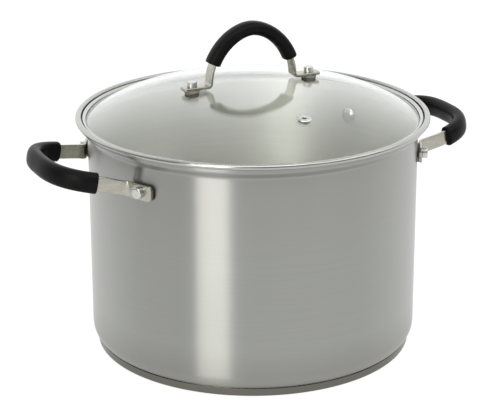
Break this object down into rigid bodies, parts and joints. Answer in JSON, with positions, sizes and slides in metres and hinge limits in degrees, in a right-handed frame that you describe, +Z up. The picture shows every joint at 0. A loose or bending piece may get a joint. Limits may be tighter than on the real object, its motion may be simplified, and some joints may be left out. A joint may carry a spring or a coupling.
{
  "type": "water bath canner",
  "caption": "Large steel stockpot for water bath canning, with looped side handles, a domed glass lid and a wire jar rack that lifts out.",
  "frame": {"origin": "centre of the underside of the base, on the pot's upright axis", "axes": "+Z up along the pot's axis; +X through the middle of the right side handle and, within 3 degrees, along the lid handle; -Y is the side with the vent hole"},
  "size_m": [0.4624, 0.3556, 0.331],
  "materials": {
    "brushed_steel": "brushed round the wall",
    "polished_steel": "polished",
    "strap_steel": "warm polished",
    "core_aluminium": "plain",
    "black_silicone": "satin",
    "dark_pad": "matt",
    "lid_glass": "clear tempered",
    "chromed_wire": "bright"
  },
  "bodies": {
    "pot": {"pot_body": "brushed_steel", "base_core": "core_aluminium", "base_cap": "polished_steel", "left_handle_strap": "strap_steel", "left_handle_grip": "black_silicone", "left_front_handle_pad": "dark_pad", "left_rear_handle_pad": "dark_pad", "left_front_rivet": "polished_steel", "left_rear_rivet": "polished_steel", "right_handle_strap": "strap_steel", "right_handle_grip": "black_silicone", "right_front_handle_pad": "dark_pad", "right_rear_handle_pad": "dark_pad", "right_front_rivet": "polished_steel", "right_rear_rivet": "polished_steel"},
    "rack": {"rack_outer_ring": "chromed_wire", "rack_inner_ring": "chromed_wire", "rack_slat_1": "chromed_wire", "rack_slat_2": "chromed_wire", "rack_slat_3": "chromed_wire", "rack_slat_4": "chromed_wire", "rack_slat_5": "chromed_wire", "rack_slat_6": "chromed_wire", "rack_slat_7": "chromed_wire", "rack_foot_1": "chromed_wire", "rack_foot_2": "chromed_wire", "rack_foot_3": "chromed_wire", "rack_foot_4": "chromed_wire", "rack_left_pivot": "chromed_wire", "rack_right_pivot": "chromed_wire"},
    "left_bail": {"rack_left_bail": "chromed_wire"},
    "right_bail": {"rack_right_bail": "chromed_wire"},
    "lid": {"lid_glass": "lid_glass", "lid_rim_band": "polished_steel", "lid_handle_strap": "strap_steel", "lid_handle_grip": "black_silicone", "lid_left_nut": "polished_steel", "lid_left_spacer": "black_silicone", "lid_left_washer": "dark_pad", "lid_left_screw": "polished_steel", "lid_right_nut": "polished_steel", "lid_right_spacer": "black_silicone", "lid_right_washer": "dark_pad", "lid_right_screw": "polished_steel", "vent_eyelet": "polished_steel"}
  },
  "joints": [
    {"name": "rack_lift", "type": "slide", "parent": "pot", "child": "rack", "axis": [0, 0, 1], "range_m": [0, 0.26]},
    {"name": "lid_lift", "type": "slide", "parent": "rack", "child": "lid", "axis": [0, 0, 1], "range_m": [0, 0.15]},
    {"name": "left_bail_hinge", "type": "hinge", "parent": "rack", "child": "left_bail", "pos_m": [-0.118, 0, 0.0296], "axis": [0, -1, 0], "range_deg": [0, 95]},
    {"name": "right_bail_hinge", "type": "hinge", "parent": "rack", "child": "right_bail", "pos_m": [0.118, 0, 0.0296], "axis": [0, 1, 0], "range_deg": [0, 95]}
  ]
}
